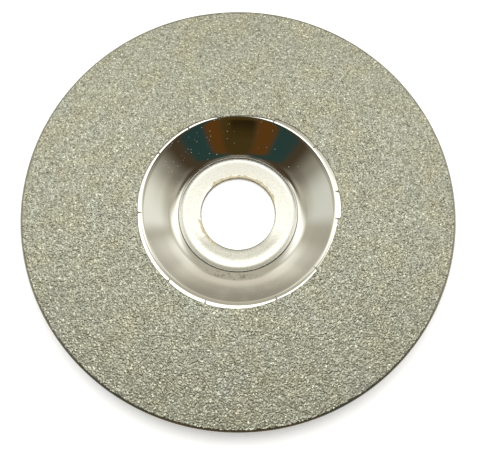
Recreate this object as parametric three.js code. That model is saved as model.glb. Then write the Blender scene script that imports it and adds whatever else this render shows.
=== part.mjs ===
// Dish-centred diamond grinding wheel: a pressed steel disc with a plated ring of diamond grit on its face.
// Millimetres, +Z is the spin axis and points out of the grinding face.
// The origin is on the axis, in the plane of the hub's underside, which is the wheel's lowest face.
import * as THREE from 'three';

// Driving dimensions
const DISC_RADIUS = 127 / 2;
const BORE_RADIUS = 22.23 / 2;
const SHEET = 1.2;
const DISH_DEPTH = 6.75; // the grinding face of the bare steel, above the hub's upper face
const MOUTH_RADIUS = 28.25; // where the wall's upper flank would meet the grinding face
const UPPER_FLANK_RUN = 2.75; // along the radius
const UPPER_FLANK_SLOPE = THREE.MathUtils.degToRad(39.5);
const LOWER_FLANK_SLOPE = THREE.MathUtils.degToRad(37.5);
const LIP_ROUND = 2.2;
const KNEE_ROUND = 120;
const TOE_RADIUS = 22.5; // inward of here the wall is a little flatter
const TOE_SLOPE = THREE.MathUtils.degToRad(34.5);
const TOE_ROUND = 40;
const VALLEY_SLOPE = THREE.MathUtils.degToRad(12); // of the wall where it meets the hub's step
const VALLEY_ROUND = 7.0;
const EDGE_ROUND = 0.3;

// The hub is flat round the bore, curves up towards its edge, and there steps down to the wall
const HUB_RISE_START = 16.9; // where the hub's flat and its rising edge would meet
const HUB_RISE = 0.3;
const HUB_RISE_ROUND = 5.0;
const HUB_EDGE = 17.8;
const HUB_EDGE_ROUND = 0.2;
const STEP_WIDTH = 0.15;
const STEP_FOOT = 1.15; // the height of the wall where it meets the step

// The abrasive ring
const BOND_THICKNESS = 0.2;
const GRIT_THICKNESS = 0.18;
const RIM_MARGIN = 0.3; // bare steel round the outside
const COAT_INNER_RADIUS = 29.7;
const PETAL_BULGE = 0.22; // how far the middle of a petal lies outside its ends
const NICK_WIDTH = 0.5;
const NICK_DEPTH = 0.28;
const PETAL_STEP = THREE.MathUtils.degToRad(5); // between two points of a petal's arc
const GRIT_INSET = 0.12; // the outermost grains stand this far inside the bond's edges
// The gaps between the plating mask's petals, in degrees anticlockwise from +X
const PETAL_GAPS = [9.5, 39.5, 68, 102, 121, 144.5, 183, 227.5, 251.5, 292, 321, 353.5];

const AROUND = 96;
const UP = Math.PI / 2;

const hubTop = SHEET;
const faceTop = SHEET + DISH_DEPTH;
const bondTop = faceTop + BOND_THICKNESS;

// An arc that touches both sides of an outline's corner, as a list of points.
function roundedCorner(before, corner, after, radius, steps) {
  const toBefore = before.clone().sub(corner).normalize();
  const toAfter = after.clone().sub(corner).normalize();
  const halfAngle = Math.acos(toBefore.dot(toAfter)) / 2;
  const centre = toBefore.clone().add(toAfter).setLength(radius / Math.sin(halfAngle)).add(corner);
  const tangent = radius / Math.tan(halfAngle);
  const start = toBefore.clone().multiplyScalar(tangent).add(corner).sub(centre);
  const end = toAfter.clone().multiplyScalar(tangent).add(corner).sub(centre);
  const sweep = Math.atan2(start.cross(end), start.dot(end));
  const points = [];
  for (let i = 0; i <= steps; i += 1) {
    points.push(start.clone().rotateAround(new THREE.Vector2(), (sweep * i) / steps).add(centre));
  }
  return points;
}

// Turns corners of the form { at, round, steps } into a closed outline with its round corners as arcs.
function roundedOutline(corners) {
  const outline = [];
  corners.forEach((corner, i) => {
    const before = corners[(i + corners.length - 1) % corners.length].at;
    const after = corners[(i + 1) % corners.length].at;
    if (corner.round) {
      outline.push(...roundedCorner(before, corner.at, after, corner.round, corner.steps));
    } else {
      outline.push(corner.at);
    }
  });
  return outline;
}

// The corner of the sheet's underside below a corner of its upper side, given that corner's two neighbours.
function undersideCorner(outward, corner, inward) {
  const downward = (from, to) => new THREE.Vector2(from.y - to.y, to.x - from.x).normalize();
  const outer = downward(outward, corner);
  const inner = downward(corner, inward);
  const stretch = SHEET / (1 + outer.dot(inner));
  return outer.add(inner).multiplyScalar(stretch).add(corner);
}

// Half of the sheet's cross-section, as radius and height, clockwise from the bore's upper edge.
function discOutline() {
  const rim = new THREE.Vector2(DISC_RADIUS, faceTop);
  const mouth = new THREE.Vector2(MOUTH_RADIUS, faceTop);
  const kneeRadius = MOUTH_RADIUS - UPPER_FLANK_RUN;
  const knee = new THREE.Vector2(kneeRadius, faceTop - UPPER_FLANK_RUN * Math.tan(UPPER_FLANK_SLOPE));
  const lowerFlankAt = (height) => knee.x - (knee.y - height) / Math.tan(LOWER_FLANK_SLOPE);
  const foot = new THREE.Vector2(lowerFlankAt(hubTop), hubTop);
  const toe = new THREE.Vector2(TOE_RADIUS, knee.y - (knee.x - TOE_RADIUS) * Math.tan(LOWER_FLANK_SLOPE));
  const stepFoot = new THREE.Vector2(HUB_EDGE + STEP_WIDTH, STEP_FOOT);
  const drop = toe.y - stepFoot.y - (toe.x - stepFoot.x) * Math.tan(VALLEY_SLOPE);
  const valleyRun = drop / (Math.tan(TOE_SLOPE) - Math.tan(VALLEY_SLOPE));
  const bore = new THREE.Vector2(BORE_RADIUS, hubTop);
  const below = (outward, at, inward, round, steps) => {
    return { at: undersideCorner(outward, at, inward), round, steps };
  };
  const corner = (radius, height, round, steps) => ({ at: new THREE.Vector2(radius, height), round, steps });
  return roundedOutline([
    corner(BORE_RADIUS, hubTop, EDGE_ROUND, 2),
    corner(HUB_RISE_START, hubTop, HUB_RISE_ROUND, 3),
    corner(HUB_EDGE, hubTop + HUB_RISE, HUB_EDGE_ROUND, 2),
    corner(stepFoot.x, stepFoot.y),
    corner(toe.x - valleyRun, toe.y - valleyRun * Math.tan(TOE_SLOPE), VALLEY_ROUND, 4),
    corner(toe.x, toe.y, TOE_ROUND, 1),
    corner(knee.x, knee.y, KNEE_ROUND, 1),
    corner(mouth.x, mouth.y, LIP_ROUND, 4),
    corner(rim.x, rim.y, EDGE_ROUND, 2),
    corner(DISC_RADIUS, faceTop - SHEET, EDGE_ROUND, 2),
    below(rim, mouth, knee, LIP_ROUND - SHEET, 2),
    below(mouth, knee, foot, KNEE_ROUND + SHEET, 1),
    below(knee, foot, bore, VALLEY_ROUND + SHEET, 5),
    corner(BORE_RADIUS, 0, EDGE_ROUND, 2),
  ]);
}

function steelDisc() {
  const outline = discOutline().reverse();
  outline.push(outline[0].clone());
  const geometry = new THREE.LatheGeometry(outline, AROUND);
  geometry.rotateX(UP);
  return geometry;
}

// The inner edge of the abrasive ring: one shallow arc for each petal, with a nick between two of them.
function petalEdge(inset) {
  const edge = [];
  const halfNick = NICK_WIDTH / 2 / COAT_INNER_RADIUS;
  const push = (radius, angle) => {
    edge.push(new THREE.Vector2((radius + inset) * Math.cos(angle), (radius + inset) * Math.sin(angle)));
  };
  PETAL_GAPS.forEach((gap, i) => {
    const next = i + 1 < PETAL_GAPS.length ? PETAL_GAPS[i + 1] : PETAL_GAPS[0] + 360;
    const from = THREE.MathUtils.degToRad(gap) + halfNick;
    const to = THREE.MathUtils.degToRad(next) - halfNick;
    const steps = Math.max(3, Math.round((to - from) / PETAL_STEP));
    for (let k = 0; k <= steps; k += 1) {
      const along = k / steps;
      push(COAT_INNER_RADIUS + PETAL_BULGE * Math.sin(Math.PI * along), from + (to - from) * along);
    }
    push(COAT_INNER_RADIUS - NICK_DEPTH, THREE.MathUtils.degToRad(next));
  });
  return edge;
}

function abrasiveLayer(inset, thickness) {
  const ring = new THREE.Shape();
  ring.absarc(0, 0, DISC_RADIUS - RIM_MARGIN - inset, 0, 2 * Math.PI, false);
  ring.holes.push(new THREE.Path(petalEdge(inset)));
  return new THREE.ExtrudeGeometry(ring, { depth: thickness, bevelEnabled: false, curveSegments: AROUND });
}

function piece(name, geometry, height, look) {
  const mesh = new THREE.Mesh(geometry, new THREE.MeshStandardMaterial(look));
  mesh.name = name;
  mesh.position.z = height;
  return mesh;
}

const wheel = new THREE.Group();
wheel.add(
  piece('steel_disc', steelDisc(), 0, { color: 0xd6d4cc, roughness: 0.15, metalness: 1 }),
  piece('nickel_bond', abrasiveLayer(0, BOND_THICKNESS), faceTop, {
    color: 0x9a9a8c,
    roughness: 0.45,
    metalness: 1,
  }),
  piece('diamond_grit', abrasiveLayer(GRIT_INSET, GRIT_THICKNESS), bondTop, {
    color: 0x9ea08f,
    roughness: 0.5,
    metalness: 0.4,
  }),
);

export default wheel;
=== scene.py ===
import math

import bmesh
import bpy
import numpy as np
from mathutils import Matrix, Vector


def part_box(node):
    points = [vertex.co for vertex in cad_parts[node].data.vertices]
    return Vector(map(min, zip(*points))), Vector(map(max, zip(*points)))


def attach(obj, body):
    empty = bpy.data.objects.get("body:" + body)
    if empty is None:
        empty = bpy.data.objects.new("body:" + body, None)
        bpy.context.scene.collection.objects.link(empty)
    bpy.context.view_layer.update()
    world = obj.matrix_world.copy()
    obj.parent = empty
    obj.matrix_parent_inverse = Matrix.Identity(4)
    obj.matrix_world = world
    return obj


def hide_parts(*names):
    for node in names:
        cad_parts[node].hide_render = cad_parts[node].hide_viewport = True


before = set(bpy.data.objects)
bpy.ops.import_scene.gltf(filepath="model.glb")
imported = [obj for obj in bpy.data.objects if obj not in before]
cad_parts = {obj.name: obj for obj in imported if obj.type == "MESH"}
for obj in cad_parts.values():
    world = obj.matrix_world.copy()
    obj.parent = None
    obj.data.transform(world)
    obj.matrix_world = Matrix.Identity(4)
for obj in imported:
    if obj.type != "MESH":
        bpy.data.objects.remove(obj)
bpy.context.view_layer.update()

MM = 0.001
DISC_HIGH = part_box("steel_disc")[1] / MM
BOND_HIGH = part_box("nickel_bond")[1] / MM
GRIT_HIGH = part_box("diamond_grit")[1] / MM

# The steel disc, as in the CAD source
DISC_RADIUS = DISC_HIGH.x
FACE_TOP = DISC_HIGH.z
BORE_RADIUS = 22.23 / 2
SHEET = 1.2
MOUTH_RADIUS = 28.25
UPPER_FLANK_RUN = 2.75
UPPER_FLANK_SLOPE = math.radians(39.5)
LOWER_FLANK_SLOPE = math.radians(37.5)
LIP_ROUND = 2.2
KNEE_ROUND = 120
VALLEY_SLOPE = math.radians(12)  # of the wall where it meets the hub's step
VALLEY_ROUND = 7.0
EDGE_ROUND = 0.3
TOE_RADIUS = 22.5  # inward of here the wall is a little flatter
TOE_SLOPE = math.radians(34.5)
TOE_ROUND = 40
HUB_RISE_START = 16.9  # where the hub's flat and its rising edge would meet
HUB_RISE = 0.3
HUB_RISE_ROUND = 5.0
HUB_EDGE_ROUND = 0.2
HUB_EDGE = 17.8
STEP_WIDTH = 0.15
STEP_FOOT = 1.15  # the height of the wall where it meets the hub's step

# The plated ring
FLAT_FROM = 29.4  # from here out the steel's face is flat, mostly coated, and takes no extra vertices
BOND_SLOPE_TO = 31.0  # halfway from its inner edge to here the bond has its full thickness
BOND_EDGE_ROUND = 0.05
BOND_OUTER = BOND_HIGH.x
BOND_TOP = BOND_HIGH.z
GRIT_TOP = GRIT_HIGH.z
GRIT_OUTER = GRIT_HIGH.x
GRAIN_SPACING = 0.345
GRIT_MARGIN = 0.15  # between the outermost grains, before they are jittered, and the grit's outer edge
GRAIN_ROOT = 0.05  # how far the grains reach down into the bond
# One petal of the plating mask each: the gap that it starts at in degrees anticlockwise from +X, the radius
# of the coat's inner edge just after that gap and just before the next one, and its bulge between them
PETALS = [
    (9.5, 29.95, 29.8, 0.15),
    (39.5, 29.8, 29.75, 0.25),
    (68.0, 29.0, 28.45, -0.15),
    (102.0, 28.7, 29.2, 0.1),
    (121.0, 29.1, 29.15, 0.15),
    (144.5, 29.15, 29.3, 0.15),
    (183.0, 29.3, 29.5, 0.15),
    (227.5, 29.5, 29.6, 0.15),
    (251.5, 29.7, 29.2, 0.15),
    (292.0, 29.1, 29.1, 0.15),
    (321.0, 28.9, 29.2, -0.1),
    (353.5, 29.9, 29.95, 0.1),
]
TONGUE_WIDTH = 0.19
TONGUE_LENGTH = 1.25

random = np.random.default_rng(5)


# ---------------------------------------------------------------- outline


def rounded_corner(before, at, after, radius, degrees_per_step):
    """An arc that touches both sides of an outline's corner."""
    to_before = (before - at).normalized()
    to_after = (after - at).normalized()
    half_angle = to_before.angle(to_after) / 2
    centre = at + (to_before + to_after).normalized() * (radius / math.sin(half_angle))
    reach = radius / math.tan(half_angle)
    start = at + to_before * reach - centre
    end = at + to_after * reach - centre
    sweep = math.atan2(start.cross(end), start.dot(end))
    steps = max(3, math.ceil(abs(math.degrees(sweep)) / degrees_per_step))
    turns = [sweep * i / steps for i in range(steps + 1)]
    return [
        centre + Vector((
            start.x * math.cos(turn) - start.y * math.sin(turn),
            start.x * math.sin(turn) + start.y * math.cos(turn),
        ))
        for turn in turns
    ]


def rounded_outline(corners):
    """A closed outline from (point, radius) corners."""
    outline = []
    for i, (at, radius) in enumerate(corners):
        before = corners[i - 1][0]
        after = corners[(i + 1) % len(corners)][0]
        if radius:
            outline += rounded_corner(before, at, after, radius, 1.5 if radius > 1 else 15)
        else:
            outline.append(at)
    return outline


def underside_corner(outward, at, inward):
    """The corner of the sheet's underside below a corner of its upper side."""
    outer = Vector((outward.y - at.y, at.x - outward.x)).normalized()
    inner = Vector((at.y - inward.y, inward.x - at.x)).normalized()
    return at + (outer + inner) * (SHEET / (1 + outer.dot(inner)))


def disc_outline():
    """Half of the disc's cross-section, as radius and height, clockwise from the bore's upper edge."""
    rim = Vector((DISC_RADIUS, FACE_TOP))
    mouth = Vector((MOUTH_RADIUS, FACE_TOP))
    knee = mouth - Vector((UPPER_FLANK_RUN, UPPER_FLANK_RUN * math.tan(UPPER_FLANK_SLOPE)))

    def on_lower_flank(height):
        return Vector((knee.x - (knee.y - height) / math.tan(LOWER_FLANK_SLOPE), height))

    toe = on_lower_flank(knee.y - (knee.x - TOE_RADIUS) * math.tan(LOWER_FLANK_SLOPE))
    step_foot = Vector((HUB_EDGE + STEP_WIDTH, STEP_FOOT))
    drop = toe.y - step_foot.y - (toe.x - step_foot.x) * math.tan(VALLEY_SLOPE)
    valley_run = drop / (math.tan(TOE_SLOPE) - math.tan(VALLEY_SLOPE))
    valley = toe - Vector((valley_run, valley_run * math.tan(TOE_SLOPE)))
    foot = on_lower_flank(SHEET)
    bore = Vector((BORE_RADIUS, SHEET))
    return rounded_outline([
        (bore, EDGE_ROUND),
        (Vector((HUB_RISE_START, SHEET)), HUB_RISE_ROUND),
        (Vector((HUB_EDGE, SHEET + HUB_RISE)), HUB_EDGE_ROUND),
        (step_foot, 0),
        (valley, VALLEY_ROUND),
        (toe, TOE_ROUND),
        (knee, KNEE_ROUND),
        (mouth, LIP_ROUND),
        (rim, EDGE_ROUND),
        (Vector((DISC_RADIUS, FACE_TOP - SHEET)), EDGE_ROUND),
        (underside_corner(rim, mouth, knee), LIP_ROUND - SHEET),
        (underside_corner(mouth, knee, foot), KNEE_ROUND + SHEET),
        (underside_corner(knee, foot, bore), VALLEY_ROUND + SHEET),
        (Vector((BORE_RADIUS, 0)), EDGE_ROUND),
    ])


OUTLINE = np.array([tuple(point) for point in disc_outline()])


def face_height(radius):
    """The height of the disc's upper side at a radius."""
    upper = OUTLINE[: np.argmax(OUTLINE[:, 0])]
    order = np.argsort(upper[:, 0])
    return np.interp(radius, upper[order, 0], upper[order, 1])


# ---------------------------------------------------------------- meshes


def make_piece(name, vertices, faces, material, replaced, sharp_angle):
    """A piece of the wheel from millimetre vertices. A sharp angle of None leaves every facet flat."""
    mesh = bpy.data.meshes.new(name)
    mesh.from_pydata((np.asarray(vertices) * MM).tolist(), [], faces)
    mesh.validate()
    if sharp_angle is None:
        mesh.shade_flat()
    else:
        mesh.shade_smooth()
        mesh.set_sharp_from_angle(angle=sharp_angle)
    mesh.materials.append(material)
    piece = bpy.data.objects.new(name, mesh)
    bpy.context.scene.collection.objects.link(piece)
    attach(piece, "root")
    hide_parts(replaced)
    return piece


def loft(rows):
    """Faces that join closed rows of vertices, the last row to the first, for an array (rows, around)."""
    next_row = np.roll(rows, -1, axis=0)
    corners = [rows, np.roll(rows, -1, axis=1), np.roll(next_row, -1, axis=1), next_row]
    return np.stack(corners, axis=-1).reshape(-1, 4).tolist()


def wheel_body(material):
    around = 400
    longest = 1.0
    outline = [OUTLINE[0]]
    for start, end in zip(OUTLINE, np.roll(OUTLINE, -1, axis=0)):
        flat = min(start[0], end[0]) > FLAT_FROM and max(start[1], end[1]) >= FACE_TOP
        pieces = 1 if flat else max(1, math.ceil(np.linalg.norm(end - start) / longest))
        outline += [start + (end - start) * (i + 1) / pieces for i in range(pieces)]
    outline = np.array(outline[:-1])
    turn = np.linspace(0, 2 * math.pi, around, endpoint=False)
    radius = np.repeat(outline[:, :1], around, axis=1)
    height = np.repeat(outline[:, 1:], around, axis=1)
    vertices = np.stack([radius * np.cos(turn), radius * np.sin(turn), height], axis=-1)
    rows = np.arange(radius.size).reshape(radius.shape)
    return make_piece(
        "wheel_body", vertices.reshape(-1, 3), loft(rows[::-1]), material,
        "steel_disc", math.radians(24),
    )


def coat_edge(turn):
    """The radius of the coat's inner edge at an angle, one arched petal after another."""
    degrees = np.degrees(turn) % 360
    edge = np.zeros_like(degrees)
    for i, (start, first, last, bulge) in enumerate(PETALS):
        span = (PETALS[(i + 1) % len(PETALS)][0] - start) % 360
        along = ((degrees - start) % 360) / span
        radius = first + (last - first) * along + bulge * 4 * along * (1 - along)
        edge = np.where(along < 1, radius, edge)
    return edge


def tongues(turn):
    """How far the bond reaches inward through the gaps between the petals."""
    reach = np.zeros_like(turn)
    for start, _, _, _ in PETALS:
        aside = (turn - math.radians(start) + math.pi) % (2 * math.pi) - math.pi
        reach += TONGUE_LENGTH * np.exp(-((aside * MOUTH_RADIUS / TONGUE_WIDTH) ** 2))
    return reach


def plated_bond(material):
    around = 1440
    turn = np.linspace(0, 2 * math.pi, around, endpoint=False)
    inner = coat_edge(turn) - tongues(turn)
    thickness = BOND_TOP - FACE_TOP
    rows = []
    for share, cover in ((0, 0.02), (0, 0.5), (0.2, 0.85), (0.5, 1), (1, 1)):
        radius = inner + (BOND_SLOPE_TO - inner) * share
        rows.append((radius, face_height(radius) + thickness * cover))
    outer = np.full_like(turn, BOND_OUTER)
    rows.append((outer - BOND_EDGE_ROUND, np.full_like(turn, BOND_TOP)))
    rows.append((outer, np.full_like(turn, BOND_TOP - BOND_EDGE_ROUND)))
    rows.append((outer, np.full_like(turn, FACE_TOP)))
    radius, height = (np.array(part) for part in zip(*rows))
    vertices = np.stack([radius * np.cos(turn), radius * np.sin(turn), height], axis=-1)
    rows = np.arange(radius.size).reshape(radius.shape)
    return make_piece(
        "plated_bond", vertices.reshape(-1, 3), loft(rows), material,
        "nickel_bond", math.radians(50),
    )


def grit_layer(material):
    """Grains as one faceted skin: a jittered triangular lattice with a random height at each vertex."""
    row_gap = GRAIN_SPACING * math.sqrt(3) / 2
    half = math.ceil(GRIT_OUTER / row_gap)
    row, column = np.meshgrid(np.arange(-half, half + 1), np.arange(-half, half + 1), indexing="ij")
    x = (column + 0.5 * (row % 2)) * GRAIN_SPACING
    y = row * row_gap
    turn = np.arctan2(y, x)
    radius = np.hypot(x, y)
    ragged = random.uniform(-0.1, 0.1, x.shape)
    inside = (radius < GRIT_OUTER - GRIT_MARGIN) & (radius > coat_edge(turn) + ragged)

    jitter = 0.3 * GRAIN_SPACING
    x = x + random.uniform(-jitter, jitter, x.shape)
    y = y + random.uniform(-jitter, jitter, x.shape)
    thickness = GRIT_TOP - BOND_TOP
    lift = thickness * random.uniform(0.3, 0.85, x.shape)
    radius = np.hypot(x, y)
    base = face_height(radius) + BOND_TOP - FACE_TOP
    z = np.minimum(base + lift, GRIT_TOP)

    index = np.arange(x.size).reshape(x.shape)
    here, beside = index[:-1, :-1], index[:-1, 1:]
    above, above_beside = index[1:, :-1], index[1:, 1:]
    even = (row[:-1, :-1] % 2 == 0)[..., None]
    first = np.where(even, np.stack([here, beside, above], -1), np.stack([here, beside, above_beside], -1))
    second = np.where(
        even, np.stack([beside, above_beside, above], -1), np.stack([here, above_beside, above], -1)
    )
    triangles = np.concatenate([first.reshape(-1, 3), second.reshape(-1, 3)])
    triangles = triangles[inside.ravel()[triangles].all(axis=1)]
    used, triangles = np.unique(triangles, return_inverse=True)
    triangles = triangles.reshape(-1, 3)
    top = np.stack([x, y, z], axis=-1).reshape(-1, 3)[used]
    floor = base.ravel()[used] - GRAIN_ROOT

    # The skin's open edges go down into the bond and are closed underneath
    edges = np.concatenate([triangles[:, [0, 1]], triangles[:, [1, 2]], triangles[:, [2, 0]]])
    keys = np.sort(edges, axis=1)
    _, where, count = np.unique(keys[:, 0] * len(top) + keys[:, 1], return_index=True, return_counts=True)
    border = edges[where[count == 1]]
    corners, lower = np.unique(border, return_inverse=True)
    lower = lower.reshape(-1, 2) + len(top)
    low = np.column_stack([top[corners, :2], floor[corners]])
    skirt = np.column_stack([border[:, 1], border[:, 0], lower[:, 0], lower[:, 1]])
    vertices = np.concatenate([top, low])
    piece = make_piece(
        "grit_layer", vertices, triangles.tolist() + skirt.tolist(), material,
        "diamond_grit", None,
    )
    shape = bmesh.new()
    shape.from_mesh(piece.data)
    open_edges = [edge for edge in shape.edges if edge.is_boundary]
    bmesh.ops.triangle_fill(shape, edges=open_edges, use_beauty=False, normal=(0, 0, -1))
    shape.to_mesh(piece.data)
    shape.free()
    return piece


# ---------------------------------------------------------------- shader helpers


def link_or_set(tree, socket, value):
    if isinstance(value, bpy.types.NodeSocket):
        tree.links.new(value, socket)
    else:
        socket.default_value = value


def add_node(tree, kind, inputs=(), **settings):
    """A shader node of a kind, with its settings, and its inputs given as (socket, value or output)."""
    made = tree.nodes.new("ShaderNode" + kind)
    for key, value in settings.items():
        setattr(made, key, value)
    for socket, value in dict(inputs).items():
        link_or_set(tree, made.inputs[socket], value)
    return made


def calculate(tree, operation, *values):
    return add_node(tree, "Math", dict(enumerate(values)), operation=operation).outputs[0]


def smooth_step(tree, value, low, high, start=0.0, end=1.0):
    """Goes smoothly from start at low to end at high."""
    inputs = {"Value": value, "From Min": low, "From Max": high, "To Min": start, "To Max": end}
    return add_node(tree, "MapRange", inputs, interpolation_type="SMOOTHSTEP").outputs[0]


def mix_colour(tree, factor, first, second, blend="MIX"):
    made = add_node(tree, "Mix", data_type="RGBA", blend_type=blend)
    link_or_set(tree, made.inputs[0], factor)
    link_or_set(tree, made.inputs[6], first)
    link_or_set(tree, made.inputs[7], second)
    return made.outputs[2]


def new_material(name, roughness, metallic=1.0):
    material = bpy.data.materials.new(name)
    material.use_nodes = True
    shader = material.node_tree.nodes["Principled BSDF"]
    shader.inputs["Roughness"].default_value = roughness
    shader.inputs["Metallic"].default_value = metallic
    return material, material.node_tree, shader


def place_and_radius(tree):
    """The place in the wheel's frame, in millimetres, and its distance from the axis."""
    place = add_node(tree, "TexCoord").outputs["Object"]
    scaled = add_node(tree, "VectorMath", {0: place, 1: (1 / MM,) * 3}, operation="MULTIPLY").outputs[0]
    across = add_node(tree, "VectorMath", {0: scaled, 1: (1, 1, 0)}, operation="MULTIPLY").outputs[0]
    radius = add_node(tree, "VectorMath", {0: across}, operation="LENGTH").outputs["Value"]
    return scaled, radius


def height_above_underside(tree, place, radius):
    """How far a place on the wall lies above the line that the wall's underside roughly follows."""
    height = add_node(tree, "SeparateXYZ", {0: place}).outputs[2]
    wall = calculate(tree, "MULTIPLY", calculate(tree, "SUBTRACT", radius, 21), math.tan(LOWER_FLANK_SLOPE))
    wall = calculate(tree, "MINIMUM", calculate(tree, "MAXIMUM", wall, 0), FACE_TOP - SHEET)
    return calculate(tree, "SUBTRACT", height, wall)


def along_bearing(tree, place, degrees):
    """How far a place lies from the axis towards a bearing, anticlockwise from +X."""
    towards = (math.cos(math.radians(degrees)), math.sin(math.radians(degrees)), 0)
    return add_node(tree, "VectorMath", {0: place, 1: towards}, operation="DOT_PRODUCT").outputs["Value"]


def noise(tree, place, cell, detail=2.0, roughness=0.5):
    """Fractal noise from 0 to 1 with features of about one cell, in millimetres."""
    inputs = {"Vector": place, "Scale": 1 / cell, "Detail": detail, "Roughness": roughness}
    return add_node(tree, "TexNoise", inputs).outputs[0]


# ---------------------------------------------------------------- materials


def bright_nickel():
    material, tree, shader = new_material("bright_nickel_plate", 0.07)
    place, radius = place_and_radius(tree)
    hub = smooth_step(tree, radius, HUB_EDGE - 0.25, HUB_EDGE, 1, 0)
    sand = noise(tree, place, 0.45, 2)
    cloud = noise(tree, place, 6, 3)
    polish = smooth_step(tree, cloud, 0.35, 0.7, 0.05, 0.1)
    satin = smooth_step(tree, sand, 0.3, 0.7, 0.22, 0.28)
    roughness = calculate(tree, "MULTIPLY_ADD", hub, calculate(tree, "SUBTRACT", satin, polish), polish)
    tree.links.new(roughness, shader.inputs["Roughness"])
    wall_tint = mix_colour(tree, cloud, (0.85, 0.835, 0.775, 1), (0.89, 0.875, 0.825, 1))
    tint = mix_colour(tree, hub, wall_tint, (0.75, 0.74, 0.69, 1))

    # A duller patch on the hub where the clamp nut was turned, on the near side of the bore
    worn = smooth_step(tree, along_bearing(tree, place, 270), 4, 10)
    worn = calculate(tree, "MULTIPLY", worn, smooth_step(tree, radius, 13.6, 15.2, 1, 0))
    tint = mix_colour(tree, worn, tint, (0.45, 0.44, 0.39, 1))

    # A dark line is painted in the crease where the hub's step meets the wall: painted shade, standing in
    # for the shade that falls there
    upper = smooth_step(tree, height_above_underside(tree, place, radius), 0.7, 0.9)
    aside = calculate(tree, "ABSOLUTE", calculate(tree, "SUBTRACT", radius, HUB_EDGE + STEP_WIDTH))
    crease_shade = calculate(tree, "MULTIPLY", upper, smooth_step(tree, aside, 0.08, 0.22, 0.7, 0))
    tint = mix_colour(tree, crease_shade, tint, (0.2, 0.19, 0.16, 1))

    # Grime has settled beside the hub's step on the near side
    settled = smooth_step(tree, along_bearing(tree, place, 262), 17.2, 19)
    settled = calculate(tree, "MULTIPLY", settled, smooth_step(tree, radius, 19.6, 21, 1, 0))
    streaks = smooth_step(tree, noise(tree, place, 1.1, 4, 0.7), 0.48, 0.62)
    grime = calculate(tree, "MULTIPLY", settled, calculate(tree, "MULTIPLY", streaks, 0.6))
    grime = calculate(tree, "MULTIPLY", grime, upper)
    tint = mix_colour(tree, grime, tint, (0.26, 0.23, 0.15, 1))

    # Dust and specks, thickest on the far-left stretch of the wall
    specks = add_node(tree, "TexVoronoi", {"Vector": place, "Scale": 1 / 1.1}, voronoi_dimensions="3D")
    speck = smooth_step(tree, specks.outputs["Distance"], 0.05, 0.15, 1, 0)
    threshold = smooth_step(tree, along_bearing(tree, place, 130), 12, 22, 0.62, 0.42)
    chance = calculate(tree, "GREATER_THAN", noise(tree, place, 2.2, 1), threshold)
    for share in (chance, smooth_step(tree, hub, 0, 1, 1, 0), upper):
        speck = calculate(tree, "MULTIPLY", speck, share)
    tint = mix_colour(tree, speck, tint, (0.8, 0.77, 0.68, 1))

    # The bore's edge has lost its plating on the far side and on a short stretch at the left
    far = smooth_step(tree, along_bearing(tree, place, 75), 3, 8)
    left = smooth_step(tree, along_bearing(tree, place, 212), 10.4, 11.2)
    reach = calculate(tree, "MULTIPLY_ADD", calculate(tree, "MAXIMUM", far, left), 1.3, BORE_RADIUS - 1.2)
    ragged = calculate(tree, "MULTIPLY_ADD", noise(tree, place, 1.3, 3), 1.7, reach)
    chipped = smooth_step(tree, calculate(tree, "SUBTRACT", ragged, radius), -0.1, 0.1)
    metal = mix_colour(tree, noise(tree, place, 0.7, 2), (0.3, 0.25, 0.15, 1), (0.74, 0.67, 0.5, 1))
    tint = mix_colour(tree, chipped, tint, metal)
    tree.links.new(tint, shader.inputs["Base Color"])

    bare = calculate(tree, "MAXIMUM", speck, calculate(tree, "MULTIPLY", chipped, 0.7))
    tree.links.new(smooth_step(tree, bare, 0, 1, 1, 0.15), shader.inputs["Metallic"])
    strength = calculate(tree, "MULTIPLY_ADD", worn, 0.16, calculate(tree, "MULTIPLY", hub, 0.04))
    bump = add_node(tree, "Bump", {"Strength": strength, "Distance": 0.05 * MM, "Height": sand})
    tree.links.new(bump.outputs[0], shader.inputs["Normal"])
    return material


def dull_nickel():
    material, tree, shader = new_material("dull_nickel_bond", 0.42)
    place, _ = place_and_radius(tree)
    grain = noise(tree, place, 0.3, 3)
    colour = mix_colour(tree, grain, (0.3, 0.29, 0.24, 1), (0.6, 0.59, 0.52, 1))
    tree.links.new(colour, shader.inputs["Base Color"])
    bump = add_node(tree, "Bump", {"Strength": 0.4, "Distance": 0.06 * MM, "Height": grain})
    tree.links.new(bump.outputs[0], shader.inputs["Normal"])
    return material


def diamond_grit():
    material, tree, shader = new_material("diamond_grit", 0.36, 0.88)
    place, _ = place_and_radius(tree)
    cells = add_node(tree, "TexVoronoi", {"Vector": place, "Scale": 1 / 0.34})
    shade, polish = add_node(tree, "SeparateColor", {"Color": cells.outputs["Color"]}).outputs[:2]
    tree.links.new(smooth_step(tree, polish, 0, 1, 0.2, 0.46), shader.inputs["Roughness"])
    colour = mix_colour(tree, shade, (0.34, 0.34, 0.3, 1), (0.74, 0.74, 0.66, 1))
    patches = noise(tree, place, 9, 3)
    olive = smooth_step(tree, patches, 0.3, 0.7)
    tint = mix_colour(tree, olive, (0.98, 1.0, 0.96, 1), (1.0, 0.98, 0.86, 1))
    colour = mix_colour(tree, 1.0, colour, tint, "MULTIPLY")
    tree.links.new(colour, shader.inputs["Base Color"])
    return material


# ---------------------------------------------------------------- stage


def tone(red, green, blue):
    """The radiance that plated nickel reflects as this display colour."""
    linear = [((value / 255 + 0.055) / 1.055) ** 2.4 for value in (red, green, blue)]
    return (*(value / reflected for value, reflected in zip(linear, (0.87, 0.855, 0.8))), 1.0)


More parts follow.
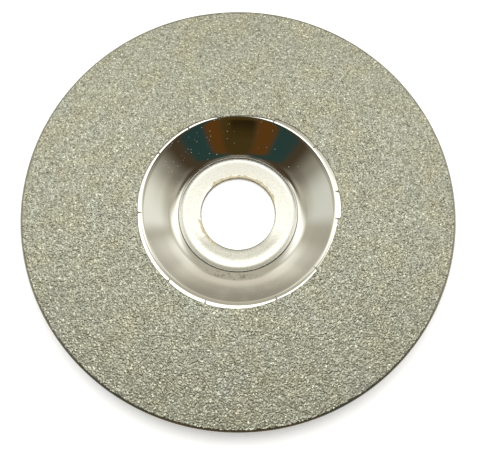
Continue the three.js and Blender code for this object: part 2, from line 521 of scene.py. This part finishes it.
GLARE = (345, 342, 324)
LAMP = (272, 270, 256)
PEARL = (243, 239, 222)
CREAM = (228, 226, 210)
FOG = (204, 204, 190)
FAWN = (206, 199, 180)
STONE = (174, 169, 150)
ASH = (155, 149, 133)
SMOKE = (110, 105, 90)
UMBER = (66, 55, 39)
TEAL = (38, 58, 53)
RUST = (84, 54, 20)
OLIVE = (64, 50, 20)
INK = (16, 10, 6)

# The walls, floor and ceiling of the room, by elevation in degrees
WALLS = [
    (-90, UMBER), (-45, STONE), (-20, STONE), (-5, SMOKE), (6, ASH), (20, STONE), (75, STONE), (90, LAMP),
]

# What stands round the wheel, in the order that it hides what is behind it. Each is a soft-edged sheet: the
# azimuth of its middle, with 0 on the near side and 90 towards +X, half of its width, its lower and upper
# elevation, how far its edges fade, all in degrees, and its tone. A dark figure leans over the table.
SHEETS = [
    (180, 34, 8, 18, 8, FAWN),  # light on the foot of the far wall
    (-166, 62, 72, 110, 8, GLARE),  # the panel that hangs almost overhead
    (-133, 15, 34, 76, 22, LAMP),  # the lamp behind the wheel, on the left
    (127, 16, 36, 76, 22, LAMP),  # and the one on the right
    (-147, 13, 13, 27, 18, PEARL),  # a reflector below each lamp
    (140, 13, 13, 27, 18, PEARL),
    (-96, 18, 6, 26, 12, FOG),  # low white screens, on the left
    (94, 24, 6, 24, 12, CREAM),  # and on the right
    (0, 84, 24, 84, 22, SMOKE),
    (0, 106, 60, 84, 16, UMBER),  # the dark ceiling over the figure
    (0, 66, 10, 84, 16, UMBER),  # the figure, and the screens at its sides
    (38, 12, 10, 84, 8, TEAL),
    (-43, 10, 10, 84, 8, TEAL),
    (-25, 9, 10, 66, 7, RUST),
    (21, 8, 10, 66, 7, RUST),
    (0, 15, 10, 84, 7, OLIVE),
    (-4, 11, 10, 34, 7, INK),
]


def soft_sheet(tree, azimuth, elevation, sheet):
    """How much of a direction one of the sheets covers, from 0 to 1."""
    middle, half_width, low, high, fade, _ = sheet
    turned = calculate(tree, "SUBTRACT", azimuth, middle)
    aside = calculate(tree, "ABSOLUTE", calculate(tree, "WRAP", turned, 180, -180))
    across = smooth_step(tree, aside, half_width - fade / 2, half_width + fade / 2, 1, 0)
    above = smooth_step(tree, elevation, low - fade / 2, low + fade / 2)
    below = smooth_step(tree, elevation, high - fade / 2, high + fade / 2, 1, 0)
    return calculate(tree, "MULTIPLY", across, calculate(tree, "MULTIPLY", above, below))


def room_light():
    """The world: plain white behind the wheel, and the room above for all that it reflects."""
    world = bpy.data.worlds.new("room")
    bpy.context.scene.world = world
    world.use_nodes = True
    tree = world.node_tree
    tree.nodes.clear()
    direction = add_node(tree, "TexCoord").outputs["Generated"]
    parts = add_node(tree, "SeparateXYZ", {0: direction}).outputs
    nearward = calculate(tree, "MULTIPLY", parts[1], -1.0)
    azimuth = calculate(tree, "DEGREES", calculate(tree, "ARCTAN2", parts[0], nearward))
    elevation = calculate(tree, "DEGREES", calculate(tree, "ARCSINE", parts[2]))
    walls = add_node(tree, "ValToRGB", {"Fac": calculate(tree, "MULTIPLY_ADD", elevation, 1 / 180, 0.5)})
    stops = walls.color_ramp.elements
    stops.remove(stops[1])
    stops[0].color = tone(*WALLS[0][1])
    for height, name in WALLS[1:]:
        stops.new(height / 180 + 0.5).color = tone(*name)
    colour = walls.outputs["Color"]
    for sheet in SHEETS:
        cover = soft_sheet(tree, azimuth, elevation, sheet)
        colour = mix_colour(tree, cover, colour, tone(*sheet[-1]))
    room = add_node(tree, "Background", {"Color": colour, "Strength": 1.0})
    plain = add_node(tree, "Background", {"Color": (1, 1, 1, 1), "Strength": 1.0})
    seen = add_node(tree, "LightPath").outputs["Is Camera Ray"]
    mixed = add_node(tree, "MixShader", {0: seen, 1: room.outputs[0], 2: plain.outputs[0]})
    add_node(tree, "OutputWorld", {"Surface": mixed.outputs[0]})


def pale_floor():
    """A white table, lit past white, that isn't seen from underneath or in the bright steel."""
    half = 2.0
    corners = [(-half, -half, 0), (half, -half, 0), (half, half, 0), (-half, half, 0)]
    mesh = bpy.data.meshes.new("table")
    mesh.from_pydata(corners, [], [(0, 1, 2, 3)])
    table = bpy.data.objects.new("table", mesh)
    bpy.context.scene.collection.objects.link(table)
    table.visible_glossy = False
    material, tree, shader = new_material("white_table", 0.9, 0.0)
    shader.inputs["Base Color"].default_value = (0.95, 0.95, 0.95, 1)
    shader.inputs["Emission Color"].default_value = (0.95, 0.97, 1, 1)
    shader.inputs["Emission Strength"].default_value = 0.35
    through = add_node(tree, "BsdfTransparent")
    behind = add_node(tree, "NewGeometry").outputs["Backfacing"]
    mixed = add_node(tree, "MixShader", {0: behind, 1: shader.outputs[0], 2: through.outputs[0]})
    tree.links.new(mixed.outputs[0], tree.nodes["Material Output"].inputs["Surface"])
    mesh.materials.append(material)


def overhead_light():
    """A soft light for the table and its shadow, kept out of the bright steel."""
    data = bpy.data.lights.new("overhead", "AREA")
    data.shape = "DISK"
    data.size = 0.9
    data.energy = 7
    light = bpy.data.objects.new("overhead", data)
    light.location = (0, 0.3, 0.9)
    light.rotation_mode = "QUATERNION"
    light.rotation_quaternion = (-light.location).to_track_quat("-Z", "Y")
    light.visible_glossy = False
    bpy.context.scene.collection.objects.link(light)


def photo_camera():
    distance = 226.8
    elevation = math.radians(75.03)
    aim = Vector((0, -5.6, FACE_TOP))
    data = bpy.data.cameras.new("camera")
    data.sensor_width = 36
    data.lens = 54
    data.shift_x = 0.0238
    data.clip_start = 0.01
    camera = bpy.data.objects.new("camera", data)
    bpy.context.scene.collection.objects.link(camera)
    camera.location = Vector((0, -math.cos(elevation), math.sin(elevation))) * distance * MM
    camera.rotation_mode = "QUATERNION"
    camera.rotation_quaternion = (aim * MM - camera.location).to_track_quat("-Z", "Y")
    bpy.context.scene.camera = camera


wheel_body(bright_nickel())
plated_bond(dull_nickel())
grit_layer(diamond_grit())
pale_floor()
room_light()
overhead_light()
photo_camera()
bpy.context.scene.view_settings.view_transform = "Standard"
